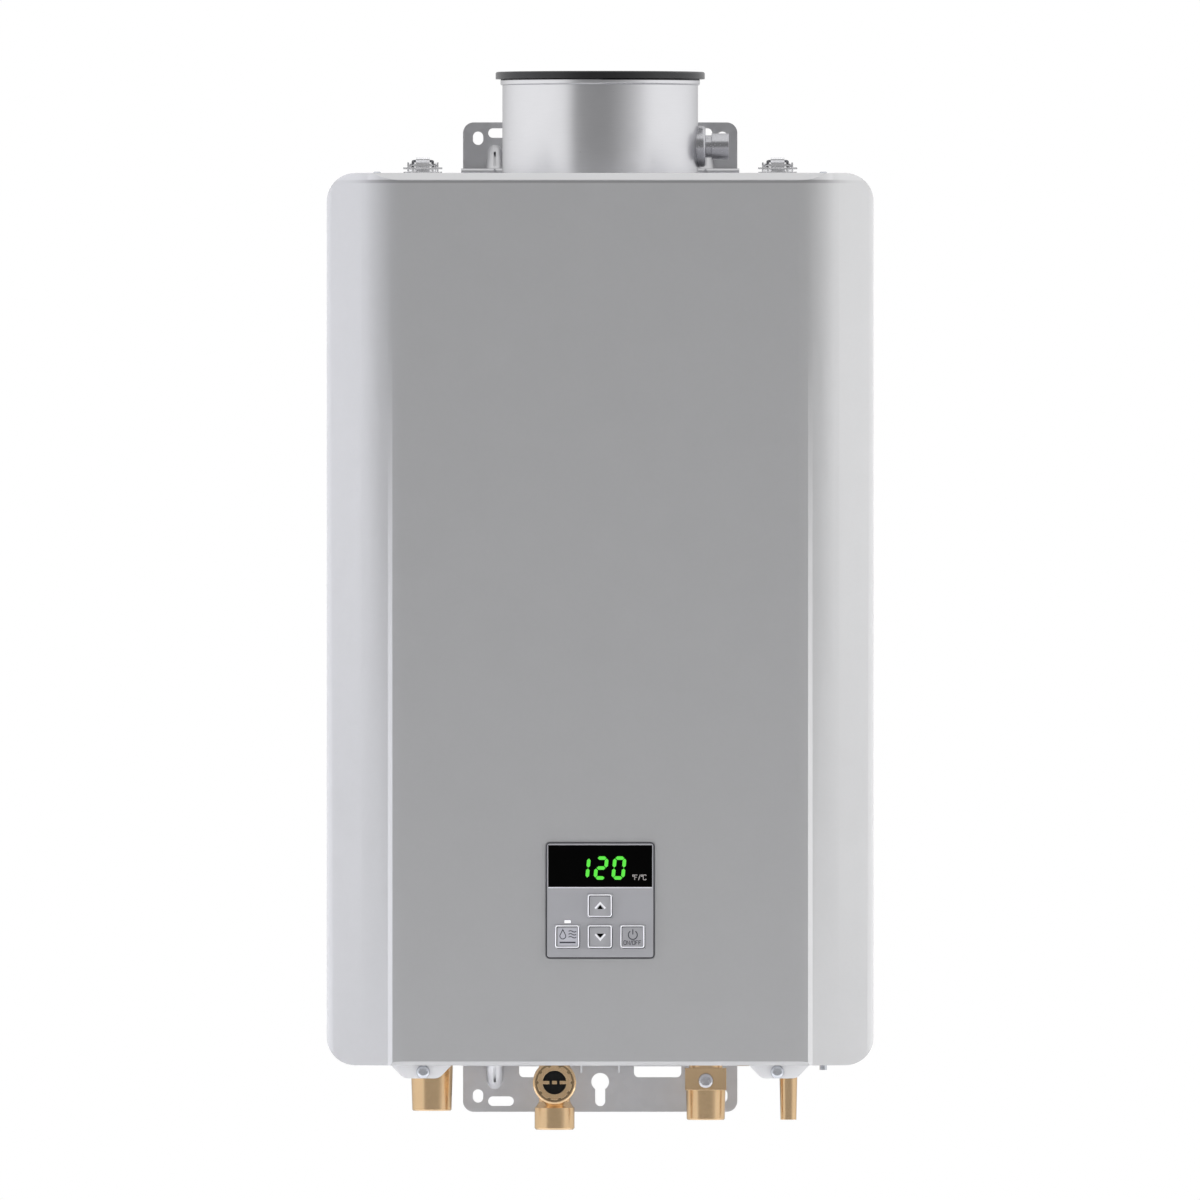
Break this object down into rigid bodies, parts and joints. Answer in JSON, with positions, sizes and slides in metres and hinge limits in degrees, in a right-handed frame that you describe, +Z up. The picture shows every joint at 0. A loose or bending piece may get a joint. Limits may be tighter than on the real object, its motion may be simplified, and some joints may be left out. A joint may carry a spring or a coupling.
{
  "type": "tankless water heater",
  "caption": "Slim wall-hung tankless gas water heater with a concentric vent collar, draw latches, front controller and brass connections underneath.",
  "frame": {"origin": "middle of the upper wall bracket's two level slots, on the wall plane", "axes": "+Z up, +X to the right seen from the front, +Y into the wall, so the front faces -Y"},
  "size_m": [0.356, 0.2367, 0.6906],
  "materials": {
    "case_paint": "fine silver powder coat",
    "cover_paint": "fine silver powder coat",
    "rubber": "matte",
    "galvanised": "zinc-plated sheet",
    "collar_steel": "bright rolled steel",
    "flue_steel": "stainless, satin",
    "zinc": "zinc-plated",
    "latch_steel": "stainless, satin",
    "screw_steel": "bright zinc",
    "brass": "machined",
    "black_plastic": "fine grain",
    "bezel_plastic": "satin",
    "display_glass": "gloss, dark smoked",
    "button_plastic": "satin",
    "led_lens": "translucent",
    "circuit_board": "solder mask",
    "copper": "copper, satin",
    "aluminised": "aluminised sheet",
    "die_cast": "die-cast, matte",
    "motor_paint": "black enamel",
    "ceramic": "glazed ceramic",
    "white_plastic": "moulded"
  },
  "bodies": {
    "heater": {"rear_case": "case_paint", "case_floor": "case_paint", "front_cover": "cover_paint", "cover_gasket": "rubber", "upper_wall_bracket": "galvanised", "lower_wall_bracket": "galvanised", "vent_collar": "collar_steel", "inner_flue": "flue_steel", "collar_gasket": "rubber", "collar_side_port": "zinc", "latch_bases": "latch_steel", "latch_keepers": "latch_steel", "cover_screws": "screw_steel", "case_screws": "screw_steel", "hot_outlet_fitting": "brass", "cold_inlet_body": "brass", "gas_inlet_fitting": "brass", "gas_test_screw": "zinc", "drain_tail": "brass", "cable_gland": "black_plastic", "controller_bezel": "bezel_plastic", "display_window": "display_glass", "status_led": "led_lens", "button_board": "circuit_board", "exchanger_jacket": "copper", "exchanger_fins": "copper", "exchanger_tubes": "copper", "burner_box": "aluminised", "burner_bars": "flue_steel", "gas_manifold": "die_cast", "gas_valve_body": "die_cast", "blower_housing": "aluminised", "blower_motor": "motor_paint", "exhaust_hood": "aluminised", "flame_electrodes": "ceramic", "spark_unit": "black_plastic", "control_board": "circuit_board", "flow_sensor_body": "white_plastic", "flow_valve_body": "brass", "flow_valve_motor": "motor_paint", "water_pipes": "copper", "gas_pipe": "aluminised", "thermistors": "screw_steel", "frost_heaters": "ceramic"},
    "up_button": {"button_up": "button_plastic"},
    "down_button": {"button_down": "button_plastic"},
    "select_button": {"button_select": "button_plastic"},
    "power_button": {"button_power": "button_plastic"},
    "left_lever": {"latch_lever_left": "latch_steel"},
    "right_lever": {"latch_lever_right": "latch_steel"},
    "left_bail": {"latch_bail_left": "latch_steel"},
    "right_bail": {"latch_bail_right": "latch_steel"},
    "strainer": {"strainer_basket": "flue_steel"},
    "strainer_plug": {"strainer_cap": "brass", "strainer_o_ring": "rubber"},
    "fan": {"blower_impeller": "aluminised"},
    "turbine": {"flow_turbine": "white_plastic"},
    "spindle": {"flow_valve_spindle": "white_plastic"},
    "shutoff": {"shutoff_plunger": "screw_steel"},
    "modulator": {"modulating_plunger": "screw_steel"}
  },
  "joints": [
    {"name": "up_press", "type": "slide", "parent": "heater", "child": "up_button", "axis": [0, 1, 0], "range_m": [0, 0.0008], "stiffness_N_per_m": 400, "springref_m": -0.0008},
    {"name": "down_press", "type": "slide", "parent": "heater", "child": "down_button", "axis": [0, 1, 0], "range_m": [0, 0.0008], "stiffness_N_per_m": 400, "springref_m": -0.0008},
    {"name": "select_press", "type": "slide", "parent": "heater", "child": "select_button", "axis": [0, 1, 0], "range_m": [0, 0.0008], "stiffness_N_per_m": 400, "springref_m": -0.0008},
    {"name": "power_press", "type": "slide", "parent": "heater", "child": "power_button", "axis": [0, 1, 0], "range_m": [0, 0.0008], "stiffness_N_per_m": 400, "springref_m": -0.0008},
    {"name": "left_lever_swing", "type": "hinge", "parent": "heater", "child": "left_lever", "pos_m": [-0.1155, -0.173, -0.0232], "axis": [1, 0, 0], "range_deg": [0, 75]},
    {"name": "left_bail_swing", "type": "hinge", "parent": "left_lever", "child": "left_bail", "pos_m": [-0.1155, -0.1651, -0.0243], "axis": [1, 0, 0], "range_deg": [-38, 0]},
    {"name": "right_lever_swing", "type": "hinge", "parent": "heater", "child": "right_lever", "pos_m": [0.1155, -0.173, -0.0232], "axis": [1, 0, 0], "range_deg": [0, 75]},
    {"name": "right_bail_swing", "type": "hinge", "parent": "right_lever", "child": "right_bail", "pos_m": [0.1155, -0.1651, -0.0243], "axis": [1, 0, 0], "range_deg": [-38, 0]},
    {"name": "strainer_draw", "type": "slide", "parent": "heater", "child": "strainer", "axis": [0, -1, 0], "range_m": [0, 0.012]},
    {"name": "strainer_unscrew", "type": "hinge", "parent": "strainer", "child": "strainer_plug", "pos_m": [-0.0298, -0.118, -0.6207], "axis": [0, -1, 0], "range_deg": [0, 2400]},
    {"name": "fan_spin", "type": "hinge", "parent": "heater", "child": "fan", "pos_m": [-0.015, -0.095, -0.41], "axis": [0, 1, 0], "continuous": true},
    {"name": "turbine_spin", "type": "hinge", "parent": "heater", "child": "turbine", "pos_m": [-0.0298, -0.1, -0.57], "axis": [0, 0, 1], "continuous": true},
    {"name": "spindle_turn", "type": "hinge", "parent": "heater", "child": "spindle", "pos_m": [-0.0298, -0.1, -0.5275], "axis": [0, 1, 0], "range_deg": [0, 90]},
    {"name": "shutoff_stroke", "type": "slide", "parent": "heater", "child": "shutoff", "axis": [1, 0, 0], "range_m": [0, 0.002], "stiffness_N_per_m": 600, "springref_m": -0.003},
    {"name": "modulator_stroke", "type": "slide", "parent": "heater", "child": "modulator", "axis": [1, 0, 0], "range_m": [0, 0.004], "stiffness_N_per_m": 400, "springref_m": -0.003}
  ],
  "couplings": [
    {"joint": "left_bail_swing", "follows": "left_lever_swing", "ratio": -0.5},
    {"joint": "right_bail_swing", "follows": "right_lever_swing", "ratio": -0.5},
    {"joint": "strainer_draw", "follows": "strainer_unscrew", "m_per_rad": 0.00028648}
  ]
}
